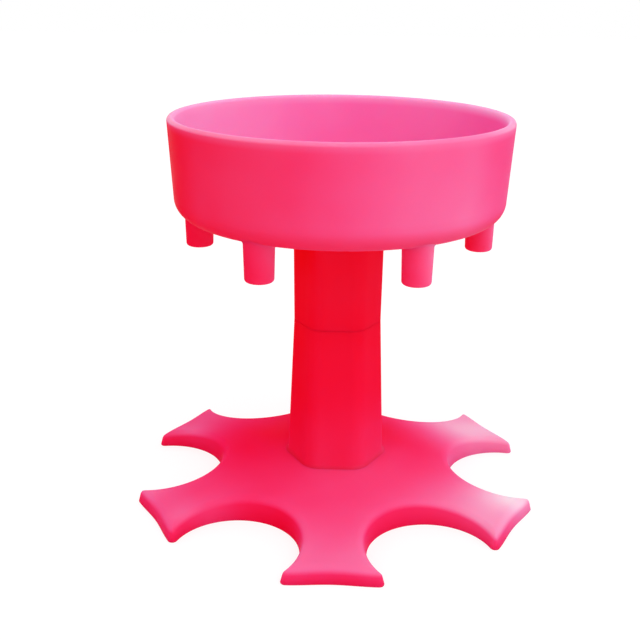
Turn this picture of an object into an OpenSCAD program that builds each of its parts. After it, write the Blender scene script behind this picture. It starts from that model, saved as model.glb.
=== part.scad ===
// Six-way shot dispenser. A drink poured into the bowl runs out through six
// spouts into six glasses that stand in the round bays of a star-shaped base.
// Z is up, the table is z = 0, and the stem's axis is x = y = 0.

/* [Bowl] */
// Outside diameter of the bowl at its rim
bowl_d = 130; // [118:1:144]
// Height of the bowl from its underside to its rim
bowl_h = 37.4; // [30:0.2:50]
// How much the wall leans in between the rim and its foot, per side
wall_lean = 1.6; // [0.6:0.1:3]
// Outside radius of the corner between the wall and the floor
corner_r = 7.5; // [5:0.5:9]
// Thickness of the bowl's wall
bowl_wall = 3; // [2:0.1:3.6]
// Thickness of the bowl's floor
floor_t = 3; // [2:0.1:4]
// How far the floor climbs from the outlets to the middle
floor_rise = 4; // [1.5:0.5:8]

/* [Spouts] */
// Distance of a spout's axis in from the foot of the wall
spout_inset = 8.8; // [8:0.1:12]
// Length of a spout below the bowl
spout_l = 14; // [9:0.5:22]
// Outside diameter of a spout where it leaves the bowl
spout_top_d = 11.2; // [10.8:0.1:13]
// Outside diameter of a spout near its tip
spout_tip_d = 10.6; // [9.8:0.1:10.8]
// Radius of the rounded edge at a spout's tip
spout_tip_r = 1.2; // [0.6:0.1:1.5]
// Diameter of the bore through a spout and the floor above it
spout_bore_d = 6.4; // [5:0.1:7]
// Free height under the spouts for a glass
glass_room = 100.6; // [85:0.2:115]

/* [Stem] */
// Width across flats under the bowl
stem_top_w = 32.8; // [32:0.2:36]
// Width across flats where the two halves meet
stem_seam_w = 32; // [29:0.2:33]
// Width across flats at the foot
stem_foot_w = 36; // [33:0.2:40]
// Radius of the stem's six rounded edges
stem_edge_r = 7.2; // [5:0.2:9]
// Thickness of the stem's wall
stem_wall = 2.4; // [1.8:0.1:3]
// Height of the line where the two halves meet
seam_h = 71; // [55:1:80]
// Length of the spigot that plugs into the upper half
spigot_l = 18; // [12:1:24]
// Thickness of the spigot's wall and end
spigot_wall = 2.2; // [1.6:0.1:3]
// Gap on each side between the spigot and its socket
spigot_gap = 0.25; // [0.15:0.05:0.4]
// Gap between the spigot's end and the ledge above it
spigot_end_gap = 1.2; // [0.6:0.1:3]
// Bevel of the two edges that meet at the seam
seam_bevel = 0.4; // [0.2:0.1:0.8]

/* [Base] */
// Diameter of a glass bay
bay_d = 47.8; // [42:0.2:52]
// Distance of a bay's centre outward from the spout above it
bay_lead = 17.8; // [15:0.2:21]
// Distance of an arm's end outward from the ring of bay centres
arm_reach = 8.8; // [6:0.2:11]
// Depth of the shallow hollow in an arm's end
end_hollow = 0.9; // [0:0.1:2]
// Radius of the two corners of an arm in plan
arm_corner_r = 1.9; // [1.2:0.1:3]
// Height of the base at the ends of its arms
arm_t = 5.8; // [5:0.1:8]
// Height of the base under the stem
hub_t = 12.9; // [10:0.1:16]
// Width of the flat round top of the hub beyond the stem's edges
hub_land = 1.2; // [0.6:0.2:3]
// How far the sides lean in between the table and the soft edge
side_lean = 0.8; // [0:0.1:1.2]
// Radius of the soft upper edge round the star
edge_r = 3.6; // [2:0.2:4]
// Bevel of the edge that meets the table
foot_bevel = 0.4; // [0.3:0.1:1]
// Thickness of the hollow base's shell
shell_t = 2.2; // [1.6:0.1:2.6]
// Thickness of the ribs under the base
rib_t = 2; // [1.4:0.1:2.6]
// How far the ribs stay above the table
rib_lift = 0.6; // [0.3:0.1:1.5]

/* [Hidden] */

BAYS = 6;
SIDE_DEG = 360 / BAYS;
HALF_DEG = SIDE_DEG / 2;
FIRST_ARM_DEG = -90;
$fn = 96;
// how far a cut starts outside what it cuts
OVER = 1;

bowl_red = [0.97, 0.25, 0.47];
spout_red = [0.96, 0.20, 0.38];
stem_red = [0.94, 0.06, 0.16];
base_red = [0.95, 0.22, 0.42];

// heights
floor_z = glass_room + spout_l;
rim_z = floor_z + bowl_h;
spigot_z = seam_h + spigot_l;

// radii of the bowl
rim_r = bowl_d / 2;
wall_foot_r = rim_r - wall_lean;
lip_r = bowl_wall / 2;
spout_ring_r = wall_foot_r - spout_inset;
// level ring between the floor's cone and the spouts
cone_gap = 1;
cone_r = spout_ring_r - spout_top_d / 2 - cone_gap;
inner_corner_r = max(1, corner_r - bowl_wall);
// depth of the 45 degree countersink above each bore
countersink = 1.4;

// the socket in the upper stem and the spigot of the lower one
socket_w = stem_seam_w - 2 * stem_wall;
socket_edge_r = stem_edge_r - stem_wall;
spigot_w = socket_w - 2 * spigot_gap;
spigot_edge_r = socket_edge_r - spigot_gap;
spigot_bore_w = spigot_w - 2 * spigot_wall;
spigot_bore_edge_r = max(0.6, spigot_edge_r - spigot_wall);
socket_l = spigot_l + spigot_end_gap;
ledge = 1.2;
spigot_bevel = 1;
foot_bore_w = stem_foot_w - 2 * stem_wall;
foot_bore_edge_r = stem_edge_r - stem_wall;

// plan of the base
bay_ring_r = spout_ring_r + bay_lead;
arm_end = bay_ring_r + arm_reach;
bay_u = bay_ring_r * cos(HALF_DEG);
bay_v = bay_ring_r * sin(HALF_DEG);
hub_r = stem_foot_w / 2 / cos(HALF_DEG) - stem_edge_r * (1 / cos(HALF_DEG) - 1) + hub_land;
// angle at which the soft edge starts from the leaning side
EDGE_FROM_DEG = 20;
// how far in from the outline the soft edge ends
edge_in = side_lean + edge_r * cos(EDGE_FROM_DEG);
END_STEPS = 3;
CORNER_STEPS = 3;
BAY_STEPS = 9;
EDGE_STEPS = 4;
TOP_STEPS = 3;

// steps of the round edges that are drawn as arcs
HEX_EDGE_STEPS = 6;
BOWL_CORNER_STEPS = 8;
LIP_STEPS = 5;
SPOUT_TIP_STEPS = 5;

// points on an arc from angle a0 to angle a1, in n steps
function arc(c, r, a0, a1, n) =
    [for (i = [0:n]) let (a = a0 + (a1 - a0) * i / n) c + r * [cos(a), sin(a)]];

// a hexagon with flats at the front and back and rounded corners
function hexagon(w, r) = let (reach = (w / 2 - r) / cos(HALF_DEG))
    [for (k = [0:BAYS - 1]) let (a = k * SIDE_DEG)
        each arc(reach * [cos(a), sin(a)], r, a - HALF_DEG, a + HALF_DEG, HEX_EDGE_STEPS)];

// A closed skin through rings of as many points each, which run anticlockwise
// seen from above. Flat faces close its first and last ring, through the
// points that lid picks.
module loft(rings, lid = []) {
    n = len(rings[0]);
    m = len(rings);
    closed = len(lid) > 0 ? lid : [for (i = [0:n - 1]) i];
    polyhedron(
        points = [for (r = rings) each r],
        faces = concat(
            [closed],
            [for (j = [0:m - 2], i = [0:n - 1]) let (k = (i + 1) % n)
                each [[j * n + i, (j + 1) * n + i, (j + 1) * n + k],
                      [j * n + i, (j + 1) * n + k, j * n + k]]],
            [[for (i = [len(closed) - 1:-1:0]) (m - 1) * n + closed[i]]]),
        convexity = 6);
}

// a six-sided bar through sections of [width, edge radius, height], bottom first
module hex_bar(sections)
    loft([for (s = sections) [for (p = hexagon(s[0], s[1])) [p[0], p[1], s[2]]]]);

// ---- bowl ----

function bowl_outside() = concat(
    [[0, floor_z + floor_rise], [cone_r, floor_z]],
    arc([wall_foot_r - corner_r, floor_z + corner_r], corner_r, -90, 0,
        BOWL_CORNER_STEPS),
    arc([rim_r - lip_r, rim_z - lip_r], lip_r, 0, 90, LIP_STEPS));

function bowl_inside() = concat(
    arc([rim_r - lip_r, rim_z - lip_r], lip_r, 90, 180, LIP_STEPS),
    arc([wall_foot_r - bowl_wall - inner_corner_r, floor_z + floor_t + inner_corner_r],
        inner_corner_r, 0, -90, BOWL_CORNER_STEPS),
    [[cone_r, floor_z + floor_t], [0, floor_z + floor_t + floor_rise]]);

// everything inside the bowl's outer skin, to trim what meets it from below
module bowl_space()
    rotate_extrude()
        polygon(concat(bowl_outside(), [[0, rim_z]]));

module at_spout(k)
    rotate([0, 0, k * SIDE_DEG])
        translate([spout_ring_r, 0, 0])
            children();

// what an outlet cuts away: the bore, the countersink above it and a straight
// cut up from there, which clears the round corner at the wall
module outlet()
    rotate_extrude()
        polygon([
            [0, floor_z - OVER],
            [spout_bore_d / 2, floor_z - OVER],
            [spout_bore_d / 2, floor_z + floor_t - countersink],
            [spout_bore_d / 2 + countersink, floor_z + floor_t],
            [spout_bore_d / 2 + countersink, floor_z + floor_t + inner_corner_r],
            [0, floor_z + floor_t + inner_corner_r]]);

module bowl() color(bowl_red)
    difference() {
        rotate_extrude()
            polygon(concat(bowl_outside(), bowl_inside()));
        for (k = [0:BAYS - 1]) at_spout(k) outlet();
    }

// ---- spouts ----

// a tapered tube whose tip has a rounded outer edge
module spout(k) color(spout_red)
    difference() {
        at_spout(k) rotate_extrude()
            polygon(concat(
                [[spout_bore_d / 2, glass_room]],
                arc([spout_tip_d / 2 - spout_tip_r, glass_room + spout_tip_r],
                    spout_tip_r, -90, 0, SPOUT_TIP_STEPS),
                [[spout_top_d / 2, floor_z],
                 [spout_top_d / 2, floor_z + corner_r],
                 [spout_bore_d / 2, floor_z + corner_r]]));
        bowl_space();
    }

// ---- stem ----

// hangs from the bowl and is open below, where a straight socket takes the spigot
module upper_stem() color(stem_red)
    difference() {
        hex_bar([
            [stem_seam_w - 2 * seam_bevel, stem_edge_r - seam_bevel, seam_h],
            [stem_seam_w, stem_edge_r, seam_h + seam_bevel],
            [stem_top_w, stem_edge_r, floor_z + floor_rise]]);
        hex_bar([
            [socket_w, socket_edge_r, seam_h - OVER],
            [socket_w, socket_edge_r, seam_h + socket_l],
            [socket_w - 2 * ledge, socket_edge_r - ledge, seam_h + socket_l],
            [socket_w - 2 * ledge, socket_edge_r - ledge, floor_z + floor_rise + OVER]]);
        bowl_space();
    }

// stands on the hub and ends in a closed spigot
module lower_stem() color(stem_red)
    difference() {
        hex_bar([
            [stem_foot_w, stem_edge_r, hub_t],
            [stem_seam_w, stem_edge_r, seam_h - seam_bevel],
            [stem_seam_w - 2 * seam_bevel, stem_edge_r - seam_bevel, seam_h],
            [spigot_w, spigot_edge_r, seam_h],
            [spigot_w, spigot_edge_r, spigot_z - spigot_bevel],
            [spigot_w - 2 * spigot_bevel, spigot_edge_r - spigot_bevel, spigot_z]]);
        hex_bar([
            [foot_bore_w, foot_bore_edge_r, hub_t - OVER],
            [foot_bore_w, foot_bore_edge_r, hub_t],
            [spigot_bore_w, spigot_bore_edge_r, seam_h - stem_wall],
            [spigot_bore_w, spigot_bore_edge_r, spigot_z - spigot_wall]]);
    }

// ---- base ----

// height of the base's crowned top at a point of the plan
function crown(p) = let (t = (norm(p) - hub_r) / (arm_end - hub_r))
    hub_t - (hub_t - arm_t) * max(0, min(1, t));

// Half of an arm's outline, drawn in by d, with the arm along x: across the
// hollow end, round the corner and along the bay to the middle of its back.
function half_arm(d) = let (
        r = max(0.3, arm_corner_r - d),
        bay_r = bay_d / 2 + d,
        u = arm_end - d - r,
        v = bay_v - sqrt(pow(bay_r + r, 2) - pow(u - bay_u, 2)),
        lean = atan2(bay_v - v, bay_u - u))
    concat(
        [for (i = [0:END_STEPS - 1]) let (f = i / END_STEPS)
            [arm_end - d - end_hollow * (1 + cos(180 * f)) / 2, v * f]],
        arc([u, v], r, 0, lean, CORNER_STEPS),
        [for (i = [1:BAY_STEPS]) let (a = lean + (HALF_DEG - lean) * i / BAY_STEPS)
            [bay_u, bay_v] - bay_r * [cos(a), sin(a)]]);

LAST = END_STEPS + CORNER_STEPS + BAY_STEPS;
ZIP = END_STEPS + CORNER_STEPS + 5;
// how far the arm's middle line stops short of the soft edge at its end
SPINE_SHORT = 5;

// Where the outline's points run to on top of the base: the arm's middle line
// as far as the hub, and from there on the hub's round edge.
function spine() = let (tip = arm_end - edge_in - end_hollow - SPINE_SHORT)
    [for (i = [0:LAST]) i < ZIP
        ? [tip + (hub_r - tip) * i / ZIP, 0]
        : let (a = HALF_DEG * (i - ZIP) / (LAST - ZIP)) hub_r * [cos(a), sin(a)]];

function turned(p, a) = [p[0] * cos(a) - p[1] * sin(a), p[0] * sin(a) + p[1] * cos(a)];

// mirrors a half outline and repeats it round the base
function star(half) =
    [for (k = [0:BAYS - 1]) let (a = FIRST_ARM_DEG + k * SIDE_DEG)
        each concat(
            [for (i = [LAST - 1:-1:1]) turned([half[i][0], -half[i][1]], a)],
            [for (i = [0:LAST]) turned(half[i], a)])];

// a ring of the base's skin, at a fixed height or a given depth below its crown
function level(plan, z) = [for (p = plan) [p[0], p[1], z]];
function below_crown(plan, drop) = [for (p = plan) [p[0], p[1], crown(p) - drop]];

// Rings of the whole shell: out under its roof, down inside its leaning wall,
// up outside it, round the soft edge and in over the top.
function shell() = let (
        edge = half_arm(edge_in),
        inward = [for (i = [0:TOP_STEPS]) star(edge + (spine() - edge) * i / TOP_STEPS)])
    concat(
        [for (i = [TOP_STEPS:-1:0]) below_crown(inward[i], shell_t)],
        [below_crown(star(half_arm(side_lean + shell_t)), edge_r)],
        [level(star(half_arm(shell_t)), 0)],
        [level(star(half_arm(foot_bevel)), 0), level(star(half_arm(0)), foot_bevel)],
        [for (i = [0:EDGE_STEPS - 1])
            let (a = EDGE_FROM_DEG + (90 - EDGE_FROM_DEG) * i / EDGE_STEPS)
            below_crown(star(half_arm(edge_in - edge_r * cos(a))), edge_r * (1 - sin(a)))],
        [for (plan = inward) below_crown(plan, 0)]);

// the points of the shell's first and last ring that lie on the hub's round edge
hub_points = [for (k = [0:BAYS - 1], j = [1 - LAST:LAST])
    if (j >= ZIP || j < -ZIP) k * 2 * LAST + j + LAST - 1];

// a rib under an arm, with its upper edge inside the shell's roof
module rib()
    rotate([90, 0, 0])
        linear_extrude(height = rib_t, center = true)
            polygon([
                [foot_bore_w / 2, rib_lift],
                [arm_end - end_hollow - shell_t / 2, rib_lift],
                [arm_end - end_hollow - side_lean - shell_t / 2, arm_t - edge_r],
                [arm_end - end_hollow - edge_in, arm_t - shell_t / 2],
                [hub_r, hub_t - shell_t / 2],
                [foot_bore_w / 2, hub_t - shell_t / 2]]);

// a crowned shell on ribs, with a collar that carries the stem's wall down
module star_base() color(base_red)
    difference() {
        union() {
            loft(shell(), hub_points);
            hex_bar([[stem_foot_w, stem_edge_r, rib_lift],
                     [stem_foot_w, stem_edge_r, hub_t - shell_t / 2]]);
            for (k = [0:BAYS - 1]) rotate([0, 0, FIRST_ARM_DEG + k * SIDE_DEG]) rib();
        }
        hex_bar([[foot_bore_w, foot_bore_edge_r, -OVER],
                 [foot_bore_w, foot_bore_edge_r, hub_t + OVER]]);
    }

bowl();
spout(0);  // spout_1
spout(1);  // spout_2
spout(2);  // spout_3
spout(3);  // spout_4
spout(4);  // spout_5
spout(5);  // spout_6
upper_stem();
lower_stem();
star_base();
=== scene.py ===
import math

import bmesh
import bpy
import numpy as np
from mathutils import Matrix


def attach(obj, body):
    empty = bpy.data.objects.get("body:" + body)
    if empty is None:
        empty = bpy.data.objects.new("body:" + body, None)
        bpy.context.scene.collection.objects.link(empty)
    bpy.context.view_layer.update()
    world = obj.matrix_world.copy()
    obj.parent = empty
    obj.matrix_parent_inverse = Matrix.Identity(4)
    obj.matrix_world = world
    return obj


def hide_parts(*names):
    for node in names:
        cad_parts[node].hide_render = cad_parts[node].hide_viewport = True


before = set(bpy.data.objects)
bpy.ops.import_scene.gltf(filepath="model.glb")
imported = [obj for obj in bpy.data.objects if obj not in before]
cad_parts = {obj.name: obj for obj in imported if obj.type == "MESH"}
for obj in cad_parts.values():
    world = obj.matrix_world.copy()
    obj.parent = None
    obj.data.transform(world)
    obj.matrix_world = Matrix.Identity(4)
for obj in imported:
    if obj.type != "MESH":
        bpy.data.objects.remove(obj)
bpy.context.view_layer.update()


# ---- Star base ------------------------------------------------------------------------
# One moulding in crimson-pink plastic that stands on the table: a crowned star whose six
# arms part six round bays for glasses. A soft edge runs round its top, and its underside is
# hollow, with a rib along each arm and a six-sided collar under the stem's wall.

ARMS = 6
HALF_SIDE = math.pi / ARMS
FIRST_ARM = -math.pi / 2
bay_r = 0.0239
bay_ring_r = 0.0724
arm_end = 0.0812
end_hollow = 0.0009
arm_corner_r = 0.0019
least_corner_r = 0.0003
arm_t = 0.0058
hub_t = 0.0129
side_lean = 0.0008
edge_r = 0.0036
EDGE_FROM = math.radians(20)
foot_bevel = 0.0004
inner_bevel = 0.0002
shell_t = 0.0022
rib_t = 0.002
rib_lift = 0.0006
rib_round = 0.0003
rib_clear = 0.00003
rib_overlap = 0.0005
stem_foot_w = 0.036
stem_edge_r = 0.0072
stem_wall = 0.0024
hub_land = 0.0012
crown_bend = 0.025
spine_short = 0.005
spine_near = 0.006

# A bay's centre, along and across the arm beside it. The soft edge ends edge_in inside the
# foot's outline, and the hub's edge lies hub_land outside the stem's corners.
bay_u = bay_ring_r * math.cos(HALF_SIDE)
bay_v = bay_ring_r * math.sin(HALF_SIDE)
edge_in = side_lean + edge_r * math.cos(EDGE_FROM)
hub_r = (stem_foot_w / 2 - stem_edge_r) / math.cos(HALF_SIDE) + stem_edge_r + hub_land

# The middle of a quarter round of radius r is about r * round_middle from both its sides,
# because 1 - cos(45 degrees) is 0.29.
round_middle = 0.3

# Steps along half an arm's outline: over its end, its corner and the bay. The points before
# ZIP run to the arm's middle line, and the rest to the hub's edge.
END_STEPS = 10
CORNER_STEPS = 8
BAY_STEPS = 36
LAST = END_STEPS + CORNER_STEPS + BAY_STEPS
ZIP = END_STEPS + CORNER_STEPS + 20

# Steps across the top, round the soft edge and along a rib.
TOP_STEPS = 12
EDGE_STEPS = 9
RIB_STEPS = 27


def half_arm(inset):
    """Half of an arm's outline in plan, drawn in by inset, with the arm along x.
    The end is hollowed by half a cosine wave, the corner is an arc of radius r, and the bay
    an arc of radius bay_r + inset. The corner's centre is where a circle of radius
    bay_r + inset + r round the bay's centre meets the line at r + inset inside the end."""
    r = max(least_corner_r, arm_corner_r - inset)
    reach = bay_r + inset
    u = arm_end - inset - r
    v = bay_v - math.sqrt((reach + r) ** 2 - (u - bay_u) ** 2)
    lean = math.atan2(bay_v - v, bay_u - u)
    f = np.arange(END_STEPS) / END_STEPS
    end = np.stack([arm_end - inset - end_hollow * (1 + np.cos(np.pi * f)) / 2, v * f], 1)
    a = np.linspace(0, lean, CORNER_STEPS + 1)
    corner = np.stack([u + r * np.cos(a), v + r * np.sin(a)], 1)
    a = np.linspace(lean, HALF_SIDE, BAY_STEPS + 1)[1:]
    bay = np.stack([bay_u - reach * np.cos(a), bay_v - reach * np.sin(a)], 1)
    return np.concatenate([end, corner, bay])


def arm_spine():
    """Where the half outline's points run to on the base's top. The points of the arm's end
    and corner share the first spine_near of its middle line, the next ones share the rest of
    the line as far as the hub, and the last ones go round the hub's edge in equal angles."""
    tip = arm_end - edge_in - end_hollow - spine_short
    line = np.interp(np.arange(ZIP), [0, END_STEPS + CORNER_STEPS, ZIP],
                     [tip, tip - spine_near, hub_r])
    a = HALF_SIDE * np.arange(LAST - ZIP + 1) / (LAST - ZIP)
    x = np.concatenate([line, hub_r * np.cos(a)])
    y = np.concatenate([0 * line, hub_r * np.sin(a)])
    return np.stack([x, y], 1)


def star(half):
    """Mirrors half an arm over its middle line and turns the whole arm to all six places."""
    arm = np.concatenate([half[-2:0:-1] * (1, -1), half])
    a = FIRST_ARM + 2 * HALF_SIDE * np.arange(ARMS)[:, None]
    x = arm[:, 0] * np.cos(a) - arm[:, 1] * np.sin(a)
    y = arm[:, 0] * np.sin(a) + arm[:, 1] * np.cos(a)
    return np.stack([x.ravel(), y.ravel()], 1)


def crown(x, y):
    """Height of the top: level over the hub, then a straight fall to the arm ends. The bend
    between them is softened with t -> (t + sqrt(t^2 + bend^2)) / 2."""
    t = (np.hypot(x, y) - hub_r) / (arm_end - hub_r)
    t = (t + np.sqrt(t * t + crown_bend ** 2)) / 2
    return hub_t - (hub_t - arm_t) * np.minimum(t, 1)


def ring_at(plan, height):
    """A ring of points over a plan, at one height or at a height for each point."""
    return np.column_stack([plan, np.broadcast_to(height, len(plan))])


def under_crown(plan, drop):
    """A ring of points that lies a given depth below the crowned top."""
    return ring_at(plan, crown(plan[:, 0], plan[:, 1]) - drop)


def hexagon_ring(angle, width, edge, height):
    """A six-sided ring seen from the axis at the given angles, flats towards the arms: the
    reach is width / 2 / cos(angle) on a flat, and on a rounded corner the far crossing with
    the corner's circle."""
    off = np.abs((angle - FIRST_ARM + HALF_SIDE) % (2 * HALF_SIDE) - HALF_SIDE)
    centre = (width / 2 - edge) / math.cos(HALF_SIDE)
    d = HALF_SIDE - off
    arc = centre * np.cos(d) + np.sqrt(np.maximum(edge ** 2 - (centre * np.sin(d)) ** 2, 0))
    on_flat = np.tan(off) * width / 2 <= centre * math.sin(HALF_SIDE)
    reach = np.where(on_flat, width / 2 / np.cos(off), arc)
    return ring_at(np.stack([reach * np.cos(angle), reach * np.sin(angle)], 1), height)


def skin_faces(rings, start):
    """Quads between neighbouring rings of one skin, whose points begin at number start."""
    m, n = len(rings), len(rings[0])
    k = start + np.arange(m * n).reshape(m, n)
    right = np.roll(k, -1, axis=1)
    return np.stack([k[:-1], right[:-1], right[1:], k[1:]], -1).reshape(-1, 4)


def moulding(name, skins, body, replaced, crease=40):
    """One closed piece from skins of rings. The points that the skins share are welded, which
    also closes poles and middle lines, and edges over the crease angle stay sharp."""
    start, points, faces = 0, [], []
    for rings in skins:
        points.append(np.concatenate(rings))
        faces.append(skin_faces(rings, start))
        start += len(points[-1])
    mesh = bpy.data.meshes.new(name)
    mesh.from_pydata(np.concatenate(points).tolist(), [], np.concatenate(faces).tolist())
    work = bmesh.new()
    work.from_mesh(mesh)
    bmesh.ops.remove_doubles(work, verts=work.verts, dist=6e-6)
    bmesh.ops.dissolve_degenerate(work, edges=work.edges, dist=1e-7)
    work.to_mesh(mesh)
    work.free()
    mesh.shade_smooth()
    mesh.set_sharp_from_angle(angle=math.radians(crease))
    piece = bpy.data.objects.new(name, mesh)
    bpy.context.scene.collection.objects.link(piece)
    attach(piece, body)
    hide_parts(replaced)
    return piece


def mesh_points(piece):
    """The piece's points as an array of x, y and z."""
    co = np.zeros(len(piece.data.vertices) * 3, np.float32)
    piece.data.vertices.foreach_get("co", co)
    return co.reshape(-1, 3).T.astype(float)


def paint(piece, name, value):
    """Stores a value for each point, which the piece's material reads by its name."""
    layer = piece.data.attributes.new(name, "FLOAT", "POINT")
    layer.data.foreach_set("value", np.asarray(value, np.float32))


def smooth_step(x, low, high):
    """0 below low, 1 above high and 3t^2 - 2t^3 between them."""
    t = np.clip((x - low) / (high - low), 0, 1)
    return t * t * (3 - 2 * t)


def spots(x, y, rows):
    """Adds up soft round spots: each row is x and y in mm, a radius in mm and a strength, and
    counts as strength * exp(-(distance / radius)^2)."""
    total = np.zeros(len(x))
    for cx, cy, radius, strength in rows:
        away = np.hypot(x * 1000 - cx, y * 1000 - cy) / radius
        total += strength * np.exp(-away ** 2)
    return total


# The shell's skin runs out under the roof, down inside the wall, round the foot, up the side
# and over the soft edge, and in across the top.
edge_half = half_arm(edge_in)
to_spine = arm_spine() - edge_half
inward = [star(edge_half + to_spine * f) for f in np.linspace(0, 1, TOP_STEPS + 1)]
shell = [under_crown(plan, shell_t) for plan in reversed(inward)]
shell += [
    under_crown(star(half_arm(side_lean + shell_t)), edge_r),
    ring_at(star(half_arm(shell_t)), inner_bevel),
    ring_at(star(half_arm(shell_t - inner_bevel)), 0),
    ring_at(star(half_arm(foot_bevel)), 0),
    ring_at(star(half_arm(foot_bevel * round_middle)), foot_bevel * round_middle),
    ring_at(star(half_arm(0)), foot_bevel),
]
for turn in np.linspace(EDGE_FROM, math.pi / 2, EDGE_STEPS + 1)[:-1]:
    outline = star(half_arm(edge_in - edge_r * math.cos(turn)))
    shell.append(under_crown(outline, edge_r * (1 - math.sin(turn))))
shell += [under_crown(plan, 0) for plan in inward]

# The points on the hub's round edge in the skin's first and last ring, and the collar that
# joins the two.
j = np.arange(1 - LAST, LAST + 1)
round_hub = np.flatnonzero((j >= ZIP) | (j < -ZIP))
round_hub = (2 * LAST * np.arange(ARMS)[:, None] + round_hub).ravel()
hub_angle = np.arctan2(shell[-1][round_hub, 1], shell[-1][round_hub, 0])
bore_w = stem_foot_w - 2 * stem_wall
bore_edge_r = stem_edge_r - stem_wall
collar = [
    shell[-1][round_hub],
    hexagon_ring(hub_angle, bore_w, bore_edge_r, hub_t),
    hexagon_ring(hub_angle, bore_w, bore_edge_r, rib_lift),
    hexagon_ring(hub_angle, stem_foot_w, stem_edge_r, rib_lift),
    hexagon_ring(hub_angle, stem_foot_w, stem_edge_r, hub_t - shell_t),
    shell[0][round_hub],
]


def rib(angle):
    """A plate under an arm: a rounded blade section carried out along the arm's middle line,
    whose upper edge stays half a wall inside the roof and the soft edge at the arm's end."""
    end = arm_end - end_hollow
    half_wall = shell_t / 2
    u = np.linspace(stem_foot_w / 2 - rib_overlap, end - half_wall, RIB_STEPS + 1)
    under_edge = np.interp(u, [end - edge_in, end - side_lean - half_wall, end - half_wall],
                           [arm_t - half_wall, arm_t - edge_r, rib_lift + rib_overlap])
    top = np.minimum(crown(u, 0 * u) - half_wall, under_edge)
    side = rib_t / 2 * np.array([-1, -0.9, -0.55, 0.55, 0.9, 1])
    rise = np.array([1, 0, 0, 0, 0, 1])
    lift = rib_lift + rib_clear + rib_round * np.array([0, 1, 0, 0, 1, 0])
    z = lift + (top[:, None] - lift) * rise
    x = u[:, None] * np.cos(angle) - side * np.sin(angle)
    y = u[:, None] * np.sin(angle) + side * np.cos(angle)
    blade = np.stack([x, y, z], -1)
    closed_ends = blade[[0, -1]].mean(1, keepdims=True).repeat(len(side), 1)
    return np.concatenate([closed_ends[:1], blade, closed_ends[1:]])


ribs = [rib(FIRST_ARM + 2 * HALF_SIDE * k) for k in range(ARMS)]
base = moulding("star_base_moulding", [shell, collar, *ribs], "stand", "star_base")

# How deep the light goes into the plastic before it comes back, which here also holds painted
# light and
# shade: painted shade makes it deepest round the stem and on the sides, it is least on the
# arms, and painted light from the right makes it less on the right than on the left. Spots add
# the soft deeper and paler places that the photograph shows, as painted shade and painted
# highlights.
TOP_SHADE_AND_HIGHLIGHT_SPOTS = [
    (-36, 5, 18, 0.9), (-22, 14, 9, 0.9), (22, 13, 11, 0.65), (0, -60, 14, 0.35),
    (-10, -42, 9, 0.2), (-55, -30, 8, 0.3), (-2, -25, 22, -0.22), (35, -27, 18, -0.3),
    (47, 30, 14, -0.4), (66, 34, 9, -0.3), (62, -26, 11, -0.3), (71, -29, 8, -0.55),
    (-65, 25, 10, -0.75), (-75, -27, 8, -0.8), (-30, 30, 9, -0.4), (-58, -46, 6, -0.3),
]
SIDE_SHADE_AND_HIGHLIGHT_SPOTS = [(-18, -48, 10, 1.7), (-45, -43, 10, -1.2), (35, -45, 15, 0.2), (0, -80, 12, 0.35)]
SHADE_TINT_SPOTS = [(-36, 10, 20, 1)]
x, y, z = mesh_points(base)
r = np.hypot(x, y)
east, north = x / np.maximum(r, 0.001), y / np.maximum(r, 0.001)
# Painted light and shade: each depth falls towards the right, where the light is painted in,
# and the hub's rises round the stem and towards the back, as painted shade.
hub_light_and_shade = 4.15 - 0.6 * east + 1.1 * north
tip_light_and_shade = 1.90 - 0.88 * east + 0.12 * north
along = r + 0.016 * np.maximum(east, 0) * np.maximum(north, 0)
top_light_and_shade = hub_light_and_shade + (tip_light_and_shade - hub_light_and_shade) * smooth_step(along, 0.033, 0.073)
top_light_and_shade += spots(x, y, TOP_SHADE_AND_HIGHLIGHT_SPOTS)
side_light_and_shade = 4.6 - 0.6 * east - 0.5 * smooth_step(r, 0.050, 0.068)
side_light_and_shade += spots(x, y, SIDE_SHADE_AND_HIGHLIGHT_SPOTS) - 1.7 * smooth_step(east, 0.75, 0.93)
over_edge = smooth_step(crown(x, y) - z, 0.0006, 0.0034)
paint(base, "depth", top_light_and_shade + (side_light_and_shade - top_light_and_shade) * over_edge)
# The shade tint is painted in at one soft spot left of the stem at the back, where the shade
# falls.
paint(base, "far", spots(x, y, SHADE_TINT_SPOTS) * (1 - over_edge))


def new_group(name, inputs, outputs):
    """An empty shader node group with the named sockets, and its input and output nodes."""
    group = bpy.data.node_groups.new(name, "ShaderNodeTree")
    for label, kind in inputs:
        group.interface.new_socket(label, in_out="INPUT", socket_type=kind)
    for label, kind in outputs:
        group.interface.new_socket(label, in_out="OUTPUT", socket_type=kind)
    return group, group.nodes.new("NodeGroupInput"), group.nodes.new("NodeGroupOutput")


def attribute(tree, name):
    """The value that paint() stored under this name."""
    node = tree.nodes.new("ShaderNodeAttribute")
    node.attribute_name = name
    return node.outputs["Fac"]


def math_of(tree, operation, first, second):
    """The result of a Math node between two sockets."""
    node = tree.nodes.new("ShaderNodeMath")
    node.operation = operation
    tree.links.new(first, node.inputs[0])
    tree.links.new(second, node.inputs[1])
    return node.outputs[0]


def blend_colours(tree, factor, first, second):
    """The result of a colour mix between two sockets."""
    mix = tree.nodes.new("ShaderNodeMix")
    mix.data_type = "RGBA"
    tree.links.new(factor, mix.inputs["Factor"])
    tree.links.new(first, mix.inputs["A"])
    tree.links.new(second, mix.inputs["B"])
    return mix.outputs["Result"]


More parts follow.
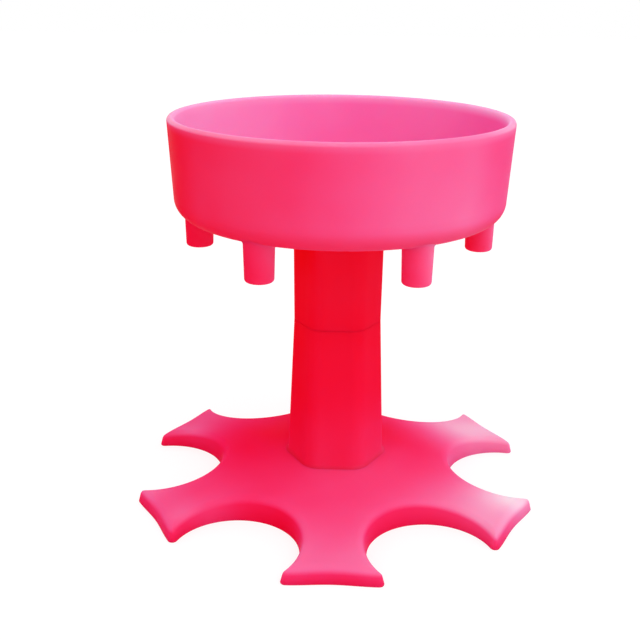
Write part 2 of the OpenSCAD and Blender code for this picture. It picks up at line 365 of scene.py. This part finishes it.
def scaled(tree, value, low, high, out_low=0.0, out_high=1.0):
    """A clamped smooth ramp of a value between two limits."""
    node = tree.nodes.new("ShaderNodeMapRange")
    node.interpolation_type = "SMOOTHSTEP"
    node.inputs["From Min"].default_value = low
    node.inputs["From Max"].default_value = high
    node.inputs["To Min"].default_value = out_low
    node.inputs["To Max"].default_value = out_high
    tree.links.new(value, node.inputs["Value"])
    return node.outputs["Result"]


def noise(tree, vector, scale, detail):
    """Blender's noise, from 0 to 1, at a scale in cells per metre."""
    node = tree.nodes.new("ShaderNodeTexNoise")
    node.inputs["Scale"].default_value = scale
    node.inputs["Detail"].default_value = detail
    tree.links.new(vector, node.inputs["Vector"])
    return node.outputs["Fac"]


# The tint of a see-through moulding: red comes back the same from any depth, and green and
# blue are raised to the power of the depth, so that a deep place is red and a shallow one
# pink. The depth that each piece paints also holds painted light and shade: less where light
# is painted in, more where shade is painted in. The depth wanders a little, as the melt's
# flow leaves it, and the tint may shift to a second one over the piece, the shade tint, which
# is put where shade is painted in.
colour = "NodeSocketColor"
tint_group, tint_in, tint_out = new_group(
    "see_through_tint", [("Tint", colour), ("Shade Tint", colour)], [("Color", colour)])
place = tint_group.nodes.new("ShaderNodeTexCoord").outputs["Object"]
flow = scaled(tint_group, noise(tint_group, place, 24, 2), 0.3, 0.7, 0.94, 1.06)
flowed = math_of(tint_group, "MULTIPLY", attribute(tint_group, "depth"), flow)
here = blend_colours(tint_group, attribute(tint_group, "far"),
                     tint_in.outputs["Tint"], tint_in.outputs["Shade Tint"])
split = tint_group.nodes.new("ShaderNodeSeparateColor")
join = tint_group.nodes.new("ShaderNodeCombineColor")
tint_group.links.new(here, split.inputs["Color"])
tint_group.links.new(split.outputs["Red"], join.inputs["Red"])
for channel in ("Green", "Blue"):
    deepened = math_of(tint_group, "POWER", split.outputs[channel], flowed)
    tint_group.links.new(deepened, join.inputs[channel])
tint_group.links.new(join.outputs["Color"], tint_out.inputs["Color"])

# The skin that a fine-sparked mould leaves: a grain of about 0.4 mm, with roughness that
# wanders slowly round a middle value.
number = "NodeSocketFloat"
grain_group, grain_in, grain_out = new_group(
    "mould_grain", [("Roughness", number)], [("Roughness", number), ("Height", number)])
place = grain_group.nodes.new("ShaderNodeTexCoord").outputs["Object"]
wander = scaled(grain_group, noise(grain_group, place, 70, 3), 0.3, 0.7, -0.05, 0.05)
rough = math_of(grain_group, "ADD", wander, grain_in.outputs["Roughness"])
grain_group.links.new(rough, grain_out.inputs["Roughness"])
grain_group.links.new(noise(grain_group, place, 2600, 2), grain_out.inputs["Height"])


def plastic(name, tint, shade_tint, roughness):
    """A satin moulded plastic with the shared tint and grain, which scatters red light
    further inside than green or blue."""
    material = bpy.data.materials.new(name)
    material.use_nodes = True
    tree = material.node_tree
    shader = tree.nodes["Principled BSDF"]
    glow = tree.nodes.new("ShaderNodeGroup")
    glow.node_tree = tint_group
    glow.inputs["Tint"].default_value = (*tint, 1)
    glow.inputs["Shade Tint"].default_value = (*shade_tint, 1)
    skin = tree.nodes.new("ShaderNodeGroup")
    skin.node_tree = grain_group
    skin.inputs["Roughness"].default_value = roughness
    bump = tree.nodes.new("ShaderNodeBump")
    bump.inputs["Strength"].default_value = 0.06
    bump.inputs["Distance"].default_value = 0.0002
    tree.links.new(glow.outputs["Color"], shader.inputs["Base Color"])
    tree.links.new(skin.outputs["Roughness"], shader.inputs["Roughness"])
    tree.links.new(skin.outputs["Height"], bump.inputs["Height"])
    tree.links.new(bump.outputs["Normal"], shader.inputs["Normal"])
    shader.inputs["Specular IOR Level"].default_value = 0.004
    shader.inputs["Subsurface Weight"].default_value = 0.6
    shader.inputs["Subsurface Radius"].default_value = (1.0, 0.15, 0.22)
    shader.inputs["Subsurface Scale"].default_value = 0.002
    return material


# The second tint is the shade tint, for the painted shade left of the stem.
base.data.materials.append(plastic(
    "base_plastic_crimson_pink", (0.91, 0.368, 0.578), (0.94, 0.368, 0.615), 0.45))


# ---- Lower stem -----------------------------------------------------------------------
# The hollow six-sided lower half of the stem, in deep red plastic. It narrows upwards to the
# seam, where it steps in to a closed spigot that the dispensing head slides over.

seam_z = 0.071
seam_w = 0.032
seam_bevel = 0.00012
spigot_z = 0.089
spigot_w = 0.0267
spigot_edge_r = 0.00455
spigot_round = 0.001
spigot_wall = 0.0022
spigot_bore_w = spigot_w - 2 * spigot_wall
spigot_bore_edge_r = spigot_edge_r - spigot_wall
root_fillet = 0.0015
sunk = 0.0001
ARC_STEPS = 12
FLAT_STEPS = 5
FILLET_STEPS = 5


def hexagon(width, edge):
    """A six-sided outline with flats at the front and back: six corner arcs of the edge's
    radius, with a few more points along each flat between them."""
    corner = 2 * HALF_SIDE * np.arange(ARMS)[:, None]
    a = corner + np.linspace(-HALF_SIDE, HALF_SIDE, ARC_STEPS + 1)
    centre = (width / 2 - edge) / math.cos(HALF_SIDE)
    arcs = np.stack([centre * np.cos(corner) + edge * np.cos(a),
                     centre * np.sin(corner) + edge * np.sin(a)], -1)
    f = np.linspace(0, 1, FLAT_STEPS + 1)[1:-1, None]
    flats = arcs[:, -1:] + (np.roll(arcs, -1, axis=0)[:, :1] - arcs[:, -1:]) * f
    return np.concatenate([arcs, flats], 1).reshape(-1, 2)


def hex_rings(sections, steps=1):
    """Rings through sections of width, edge radius and height, with equal steps between."""
    rows = np.array(sections, float)
    along = np.linspace(0, len(rows) - 1, (len(rows) - 1) * steps + 1)
    rows = np.stack([np.interp(along, np.arange(len(rows)), c) for c in rows.T], 1)
    return [ring_at(hexagon(w, e), h) for w, e, h in rows]


def fillet_sections(width, edge):
    """A quarter-round flare at the end of a bar, as rows of width, edge radius and distance
    from the end: it widens by root_fillet on each side over the last root_fillet."""
    a = np.linspace(0, math.pi / 2, FILLET_STEPS + 1)
    out = root_fillet * (1 - np.cos(a))
    return np.stack([width + 2 * out, edge + out, root_fillet * (1 - np.sin(a))], 1)


# Down the spigot, out along the shoulder, down to the flared foot, and up again inside.
lower_skin = hex_rings([
    (0, 0, spigot_z),
    (spigot_w - 2 * spigot_round, spigot_edge_r - spigot_round, spigot_z),
    (spigot_w - 2 * round_middle * spigot_round, spigot_edge_r - round_middle * spigot_round,
     spigot_z - round_middle * spigot_round),
    (spigot_w, spigot_edge_r, spigot_z - spigot_round),
])
lower_skin += hex_rings([(spigot_w, spigot_edge_r, spigot_z - spigot_round),
                         (spigot_w, spigot_edge_r, seam_z)], 6)[1:]
lower_skin += hex_rings([(seam_w - 2 * seam_bevel, stem_edge_r - seam_bevel, seam_z),
                         (seam_w, stem_edge_r, seam_z - seam_bevel)], 2)
lower_skin += hex_rings([(seam_w, stem_edge_r, seam_z - seam_bevel),
                         (stem_foot_w, stem_edge_r, hub_t + root_fillet)], 16)[1:-1]
lower_skin += [under_crown(hexagon(w, e), sunk - back)
               for w, e, back in fillet_sections(stem_foot_w, stem_edge_r)]
lower_skin += hex_rings([(bore_w, bore_edge_r, hub_t - sunk),
                         (spigot_bore_w, spigot_bore_edge_r, seam_z - stem_wall),
                         (spigot_bore_w, spigot_bore_edge_r, spigot_z - spigot_wall),
                         (0, 0, spigot_z - spigot_wall)], 3)
lower_stem = moulding("lower_stem_moulding", [lower_skin[::-1]], "stand", "lower_stem")


def stem_light_and_shade(x, z):
    """Depth on the stem, as painted light and shade: least at its foot, most below the seam,
    and more on the left, most of all at the top left under the bowl, as painted shade; a little
    less low and in the middle on the right, as painted light.
    """
    rise = 3.75 + 1.65 * smooth_step(z, 0.006, 0.052) - 0.6 * smooth_step(z, 0.064, 0.088)
    low_right_light = smooth_step(x, 0.003, 0.012) * (1 - smooth_step(z, 0.024, 0.050))
    middle_right_light = smooth_step(x, 0.005, 0.0145) * smooth_step(z, 0.036, 0.048) * (
        1 - smooth_step(z, 0.052, 0.068))
    left = smooth_step(-x, 0.006, 0.0145)
    return rise + left * (1.25 + 1.8 * smooth_step(z, 0.088, 0.106)) + (
        0.1 * smooth_step(x, 0.010, 0.0145) - 0.5 * low_right_light - 0.25 * middle_right_light)


x, y, z = mesh_points(lower_stem)
paint(lower_stem, "depth", stem_light_and_shade(x, z))
# Painted shade: the shade tint rises up the stem towards the bowl, and about half of it lies in
# the crease at the root.
root_shade = 0.55 * (1 - smooth_step(z, hub_t, hub_t + root_fillet))
paint(lower_stem, "far", np.maximum(smooth_step(z, 0.012, 0.100), root_shade))
stem_plastic = plastic("stem_plastic_deep_red", (0.90, 0.368, 0.560), (1.0, 0.368, 0.51), 0.5)
lower_stem.data.materials.append(stem_plastic)


# ---- Upper stem -----------------------------------------------------------------------
# The hollow upper half of the stem, moulded in one with the bowl. It is open below, where a
# straight six-sided socket slides over the spigot and stops on the shoulder at the seam.

floor_z = 0.1146
floor_rise = 0.004
cone_r = 0.048
cone_point_r = 0.002
cone_foot_bend = 0.03
wall_foot_r = 0.0634
corner_r = 0.0075
top_w = 0.0328
socket_w = 0.0272
socket_edge_r = stem_edge_r - stem_wall
socket_top = 0.0902
ledge = 0.0012
mouth_bevel = 0.0003
stem_top_z = 0.116
ledge_w = socket_w - 2 * ledge
ledge_edge_r = socket_edge_r - ledge


def floor_height(x, y, corner, lift):
    """Height of a floor surface: a shallow cone inside cone_r, level outside it, then the
    round corner to the wall. The cone's foot and its point are both softened."""
    r = np.hypot(x, y)
    t = 1 - np.sqrt(r * r + cone_point_r ** 2) / cone_r
    cone = floor_rise * (t + np.sqrt(t * t + cone_foot_bend ** 2)) / 2
    past = np.clip(r - (wall_foot_r - corner_r), 0, corner)
    return floor_z + lift + cone + corner - np.sqrt(corner ** 2 - past ** 2)


def underside(x, y):
    """Height of the bowl's underside."""
    return floor_height(x, y, corner_r, 0)


def under_bowl(plan, drop):
    """A ring of points that lies a given depth below the bowl's underside."""
    return ring_at(plan, underside(plan[:, 0], plan[:, 1]) - drop)


# Up the outside, in under the bowl's floor, and down through the socket to the seam.
upper_skin = hex_rings([(seam_w - 2 * seam_bevel, stem_edge_r - seam_bevel, seam_z),
                        (seam_w, stem_edge_r, seam_z + seam_bevel)], 2)
upper_skin += hex_rings([(seam_w, stem_edge_r, seam_z + seam_bevel),
                         (top_w, stem_edge_r, stem_top_z)], 14)[1:-1]
upper_skin += [under_bowl(hexagon(w, e), back - sunk)
               for w, e, back in fillet_sections(top_w, stem_edge_r)]
upper_skin += [under_bowl(hexagon(ledge_w, ledge_edge_r), -sunk)]
upper_skin += hex_rings([(ledge_w, ledge_edge_r, stem_top_z),
                         (ledge_w, ledge_edge_r, socket_top),
                         (socket_w, socket_edge_r, socket_top),
                         (socket_w, socket_edge_r, seam_z + mouth_bevel),
                         (socket_w + 2 * mouth_bevel, socket_edge_r + mouth_bevel, seam_z)], 3)
upper_skin += [upper_skin[0]]
upper_stem = moulding("upper_stem_moulding", [upper_skin], "head", "upper_stem")
x, y, z = mesh_points(upper_stem)
# Painted light and shade on the stem, and the shade tint rising towards the bowl, as painted
# shade under it.
paint(upper_stem, "depth", stem_light_and_shade(x, z))
paint(upper_stem, "far", smooth_step(z, 0.012, 0.100))
upper_stem.data.materials.append(stem_plastic)


# ---- Bowl -----------------------------------------------------------------------------
# The round pouring bowl in hot pink-red, slightly see-through plastic, with a rounded lip, a
# wall that leans out and a rounded lower corner. Its floor climbs to the middle, so that the
# drink runs to six countersunk outlets in the ring beside the wall.

rim_r = 0.065
rim_z = 0.152
lip_r = 0.0015
bowl_wall = 0.003
floor_t = 0.003
inner_corner_r = corner_r - bowl_wall
outlet_ring_r = 0.0546
outlet_bore_r = 0.0032
countersink = 0.0014
ring_in = 0.046
ring_out = 0.0599
outlet_lip = 0.0001
SECTOR_STEPS = 48
SIDE_STEPS = 8
FAN_STEPS = 9
DISC_STEPS = 11
CURVE_STEPS = 10
WALL_STEPS = 12
LIP_STEPS = 14
INNER_STEPS = 4


def sector_angles():
    """The angles of the bowl's points in one sixth, the same on both sides of its outlet. They
    lie closer together near it, as the mean of even steps round the bowl and round the
    outlet."""
    a = np.linspace(-HALF_SIDE, HALF_SIDE, 2001)
    seen = np.arctan2(ring_out * np.sin(a), ring_out * np.cos(a) - outlet_ring_r)
    share = ((a - a[0]) / (a[-1] - a[0]) + (seen - seen[0]) / (seen[-1] - seen[0])) / 2
    angles = np.interp(np.linspace(0, 1, SECTOR_STEPS + 1), share, a)
    return (angles - angles[::-1]) / 2


sector = sector_angles()
around = (2 * HALF_SIDE * np.arange(ARMS)[:, None] + sector[:-1]).ravel()


def bowl_ring(r, z):
    """A level ring of the bowl at the radius r."""
    return ring_at(np.stack([r * np.cos(around), r * np.sin(around)], 1), z)


def inside_floor(x, y):
    """Height of the floor's upper side."""
    return floor_height(x, y, inner_corner_r, floor_t)


def arc_points(centre_r, centre_z, radius, start, stop, steps):
    """Rings of the bowl along an arc of its profile, between two angles in degrees."""
    a = np.radians(np.linspace(start, stop, steps + 1))
    return [bowl_ring(centre_r + radius * c, centre_z + radius * s)
            for c, s in zip(np.cos(a), np.sin(a))]


def wall_rings(r0, z0, r1, z1, steps):
    """Rings along a straight stretch of the profile, without its two ends."""
    f = np.arange(1, steps) / steps
    return [bowl_ring(r0 + (r1 - r0) * t, z0 + (z1 - z0) * t) for t in f]


# Round the lower corner, up the wall, over the lip, and down inside. On both round corners
# the skin starts or ends at ring_out, where the ring of outlets ends.
corner_c = wall_foot_r - corner_r
wall_foot_z = floor_z + corner_r
inner_foot_z = floor_z + floor_t + inner_corner_r
wall_top_z = rim_z - lip_r
start_out = math.degrees(math.asin((ring_out - corner_c) / corner_r)) - 90
start_in = math.degrees(math.asin((ring_out - corner_c) / inner_corner_r)) - 90
wall_skin = arc_points(corner_c, wall_foot_z, corner_r, start_out, 0, CURVE_STEPS)
wall_skin += wall_rings(wall_foot_r, wall_foot_z, rim_r, wall_top_z, WALL_STEPS)
wall_skin += arc_points(rim_r - lip_r, wall_top_z, lip_r, 0, 180, LIP_STEPS)
wall_skin += wall_rings(rim_r - 2 * lip_r, wall_top_z, wall_foot_r - bowl_wall, inner_foot_z,
                        WALL_STEPS)
wall_skin += arc_points(corner_c, inner_foot_z, inner_corner_r, 0, start_in, INNER_STEPS)


def floor_disc(height):
    """Rings of a floor surface from its middle out to ring_in."""
    rings = [bowl_ring(ring_in * f, 0) for f in np.linspace(0, 1, DISC_STEPS + 1)]
    return [ring_at(p[:, :2], height(p[:, 0], p[:, 1])) for p in rings]


def outlet_skin(k):
    """One sixth of the floor's ring with its outlet. Straight lines run from the border of
    the sixth to the edge of the hole on the upper side, down through the countersink and the
    bore, and back out to the same border on the underside."""
    arc_in = np.stack([ring_in * np.cos(sector), ring_in * np.sin(sector)], 1)
    arc_out = np.stack([ring_out * np.cos(sector), ring_out * np.sin(sector)], 1)
    f = np.arange(1, SIDE_STEPS)[:, None] / SIDE_STEPS
    left_side = arc_out[-1] + (arc_in[-1] - arc_out[-1]) * f
    right_side = arc_in[0] + (arc_out[0] - arc_in[0]) * f
    border = np.concatenate([arc_out, left_side, arc_in[::-1], right_side])
    middle = np.array([outlet_ring_r, 0])
    away = border - middle
    away_n = away / np.hypot(away[:, 0], away[:, 1])[:, None]
    turn = 2 * HALF_SIDE * k
    spin = np.array([[math.cos(turn), math.sin(turn)], [-math.sin(turn), math.cos(turn)]])
    wide = middle + away_n * (outlet_bore_r + countersink)
    narrow = middle + away_n * outlet_bore_r
    reach = np.linspace(0, 1, FAN_STEPS + 1) ** 0.8
    upper = [(border + (wide - border) * t) @ spin for t in reach]
    lower = [(border + (narrow - border) * t) @ spin for t in reach[::-1]]
    rings = [ring_at(plan, inside_floor(plan[:, 0], plan[:, 1])) for plan in upper]
    rings.append(ring_at(wide @ spin, floor_z + floor_t - outlet_lip))
    rings.append(ring_at(narrow @ spin, floor_z + floor_t - countersink))
    return rings + [under_bowl(plan, 0) for plan in lower]


bowl_skins = [floor_disc(underside), wall_skin, floor_disc(inside_floor)[::-1]]
bowl_skins += [outlet_skin(k) for k in range(ARMS)]
bowl = moulding("bowl_moulding", bowl_skins, "head", "bowl", crease=50)

# Inside is what lies well in from the wall's outer profile and not below the floor's upper
# side. Outside, the light goes least deep a little right of the middle, where light from the
# right is painted in, and deeper towards both ends, as painted shade. Inside, it goes deeper
# towards the right, as painted shade opposite the painted light on the left wall. The lip is
# paler than both, as a painted highlight.
x, y, z = mesh_points(bowl)
above = z - wall_foot_z
profile_r = corner_c + (rim_r - wall_foot_r) * np.maximum(above, 0) / (wall_top_z - wall_foot_z)
profile_r += np.sqrt(corner_r ** 2 - np.clip(above, -corner_r, 0) ** 2)
inside = smooth_step(profile_r - np.hypot(x, y), 0.0006, 0.0024)
inside *= z > floor_z + floor_t - 0.0005
from_bright = 0.024 - x
from_bright = (from_bright + np.sqrt(from_bright ** 2 + 0.008 ** 2)) / 2
outer_light_and_shade = 1.90 + 28.5 * from_bright + 1.2 * (1 - smooth_step(x, -0.062, -0.048))
outer_light_and_shade += 0.85 * smooth_step(x, 0.043, 0.059)
# Deeper round the lower corner, as painted shade, and a little deeper high up the wall.
foot = 1 - smooth_step(z, 0.1165, 0.1235)
outer_light_and_shade += 0.9 * foot + 0.12 * smooth_step(z, 0.134, 0.146)
inner_light_and_shade = 1.15 + 0.47 * smooth_step(x, -0.050, 0.010) + 0.6 * smooth_step(x, 0.038, 0.064)
# The lip's paler depth, paler still at the bowl's two ends, is a painted highlight.
ends = smooth_step(abs(x), 0.045, 0.063)
lip = smooth_step(z, rim_z - 0.0024, rim_z - 0.0006)
outer_light_and_shade += (1.6 - 0.4 * ends - outer_light_and_shade) * lip
inner_lip = smooth_step(z, rim_z - 0.0035, rim_z - 0.0012)
inner_light_and_shade += (1.05 - inner_light_and_shade) * inner_lip
paint(bowl, "depth", outer_light_and_shade + (inner_light_and_shade - outer_light_and_shade) * inside)
# The shade tint is painted in outside, more towards the left and fully round the lower corner,
# as painted shade.
redder = 0.57 + 0.4 * smooth_step(-x, -0.020, 0.050)
paint(bowl, "far", (1 - inside) * (redder + (1 - redder) * foot))
bowl.data.materials.append(plastic(
    "bowl_plastic_hot_pink", (0.92, 0.368, 0.65), (0.91, 0.368, 0.53), 0.42))


# ---- Spouts ---------------------------------------------------------------------------
# Six tapered outlet tubes with rounded tips, in a redder shade of the bowl's plastic, which
# run into the bowl's underside with a small fillet. Each one stands over a glass bay.

glass_room = 0.1006
spout_top_r = 0.0056
spout_tip_r = 0.0053
tip_round = 0.0012
spout_fillet = 0.0009
spout_bevel = 0.00025
SPOUT_SIDES = 64
TAPER_STEPS = 9
ROUND_STEPS = 7


def spout_rings(k):
    """A tube turned round its own upright axis: round its tip, up the tapered side, along the
    fillet at its upper end, which follows the bowl's underside, and down the bore."""
    a = np.linspace(0, 2 * math.pi, SPOUT_SIDES + 1)[:-1]
    turn = 2 * HALF_SIDE * k
    cx, cy = outlet_ring_r * math.cos(turn), outlet_ring_r * math.sin(turn)

    def circle(radius):
        return np.stack([cx + radius * np.cos(a), cy + radius * np.sin(a)], 1)

    rounding = np.linspace(0, math.pi / 2, ROUND_STEPS + 1)
    tip_top = glass_room + tip_round
    rings = [ring_at(circle(spout_tip_r - tip_round * (1 - math.sin(b))),
                     glass_room + tip_round * (1 - math.cos(b))) for b in rounding]
    for f in np.linspace(0, 1, TAPER_STEPS + 1)[1:-1]:
        plan = circle(spout_tip_r + (spout_top_r - spout_tip_r) * f)
        taper_top = under_bowl(plan, spout_fillet)[:, 2]
        rings.append(ring_at(plan, tip_top + (taper_top - tip_top) * f))
    rings += [under_bowl(circle(spout_top_r + spout_fillet * (1 - math.cos(b))),
                         spout_fillet * (1 - math.sin(b)) - sunk) for b in rounding]
    bore = circle(outlet_bore_r)
    rings.append(under_bowl(bore, -sunk))
    rings.append(ring_at(bore, glass_room + spout_bevel))
    rings.append(ring_at(circle(outlet_bore_r + spout_bevel), glass_room))
    return rings + rings[:1]


# The light goes deeper in the left spouts than in the right ones, as painted shade on the left
# and painted light on the right, and deeper on the left side of each spout, as painted shade.
# It also goes deeper in the outermost spouts, as painted shade, and at the tips.
spout_tint = (0.95, 0.368, 0.55)
spout_plastic = plastic("spout_plastic_red_pink", spout_tint, spout_tint, 0.45)
for k in range(ARMS):
    name = f"spout_{k + 1}"
    spout = moulding(f"{name}_tube", [spout_rings(k)], "head", name)
    x, y, z = mesh_points(spout)
    across = outlet_ring_r * math.cos(2 * HALF_SIDE * k)
    depth = 3.2 - 14 * across + 0.55 * smooth_step(abs(across), 0.030, 0.054)
    depth += 0.25 * (1 - smooth_step(z, 0.102, 0.112)) - 200 * (x - across)
    paint(spout, "depth", depth)
    spout.data.materials.append(spout_plastic)


# ---- Studio ---------------------------------------------------------------------------
# A white floor without a horizon, a white room, and one large soft lamp high on the right.
# The floor shows as white to the camera and keeps a faint shadow.

floor_mesh = bpy.data.meshes.new("studio_floor")
floor_mesh.from_pydata([(-3, -3, 0), (3, -3, 0), (3, 3, 0), (-3, 3, 0)], [], [(0, 1, 2, 3)])
studio_floor = bpy.data.objects.new("studio_floor", floor_mesh)
bpy.context.scene.collection.objects.link(studio_floor)


def shows_white(tree):
    """1 where the camera looks straight at this surface or sees it mirrored or through glass,
    and 0 where it only lights the object."""
    path = tree.nodes.new("ShaderNodeLightPath").outputs
    mirrored = math_of(tree, "MAXIMUM", path["Is Glossy Ray"], path["Is Transmission Ray"])
    return math_of(tree, "MAXIMUM", path["Is Camera Ray"], mirrored)


paper = bpy.data.materials.new("white_paper")
paper.use_nodes = True
tree = paper.node_tree
tree.nodes.remove(tree.nodes["Principled BSDF"])
matt = tree.nodes.new("ShaderNodeBsdfDiffuse")
matt.inputs["Color"].default_value = (0.86, 0.86, 0.86, 1)
shadowed = tree.nodes.new("ShaderNodeBsdfDiffuse")
shadowed.inputs["Color"].default_value = (0.30, 0.30, 0.30, 1)
lit = tree.nodes.new("ShaderNodeEmission")
lit.inputs["Strength"].default_value = 0.76
white = tree.nodes.new("ShaderNodeAddShader")
tree.links.new(shadowed.outputs[0], white.inputs[0])
tree.links.new(lit.outputs[0], white.inputs[1])
pick = tree.nodes.new("ShaderNodeMixShader")
tree.links.new(shows_white(tree), pick.inputs[0])
tree.links.new(matt.outputs[0], pick.inputs[1])
tree.links.new(white.outputs[0], pick.inputs[2])
tree.links.new(pick.outputs[0], tree.nodes["Material Output"].inputs["Surface"])
floor_mesh.materials.append(paper)

room = bpy.data.worlds.new("white_room")
room.use_nodes = True
bpy.context.scene.world = room
tree = room.node_tree
strength = tree.nodes.new("ShaderNodeMapRange")
strength.inputs["To Min"].default_value = 0.93
strength.inputs["To Max"].default_value = 1.0
tree.links.new(shows_white(tree), strength.inputs["Value"])
background = tree.nodes["Background"]
background.inputs["Color"].default_value = (1, 1, 1, 1)
tree.links.new(strength.outputs["Result"], background.inputs["Strength"])

lamp_data = bpy.data.lights.new("soft_box_right", "AREA")
lamp_data.shape = "RECTANGLE"
lamp_data.size = lamp_data.size_y = 0.6
lamp_data.energy = 1.5
lamp = bpy.data.objects.new("soft_box_right", lamp_data)
bpy.context.scene.collection.objects.link(lamp)


def facing(position, target, roll=0.0):
    """The placing matrix of a lamp or camera that looks from position at target: its back
    points away from the target, its right side is level, and roll then lifts that side."""
    back = position - target
    back = back / np.linalg.norm(back)
    right = np.cross((0, 0, 1), back)
    right = right / np.linalg.norm(right)
    up = np.cross(back, right)
    rolled = right * math.cos(roll) + up * math.sin(roll)
    lifted = up * math.cos(roll) - right * math.sin(roll)
    columns = np.column_stack([rolled, lifted, back, position])
    return Matrix([*columns.tolist(), (0, 0, 0, 1)])


lamp.matrix_world = facing(np.array([0.30, -0.42, 0.74]), np.array([0, 0, 0.07]))

# The camera looks slightly down from the front, where the photograph was taken.
camera_data = bpy.data.cameras.new("photo_camera")
camera_data.lens = 55.65
camera_data.sensor_width = 36
camera = bpy.data.objects.new("photo_camera", camera_data)
bpy.context.scene.collection.objects.link(camera)
bpy.context.scene.camera = camera
azimuth = math.radians(1.24)
elevation = math.radians(19.48)
tilt = math.radians(0.65)
distance = 0.3987
side_shift = -0.00703
target = np.array([side_shift * math.cos(azimuth), side_shift * math.sin(azimuth), 0.07012])
back = np.array([math.sin(azimuth) * math.cos(elevation),
                 -math.cos(azimuth) * math.cos(elevation), math.sin(elevation)])
camera.matrix_world = facing(target + distance * back, target, tilt)

bpy.context.scene.view_settings.view_transform = "Standard"
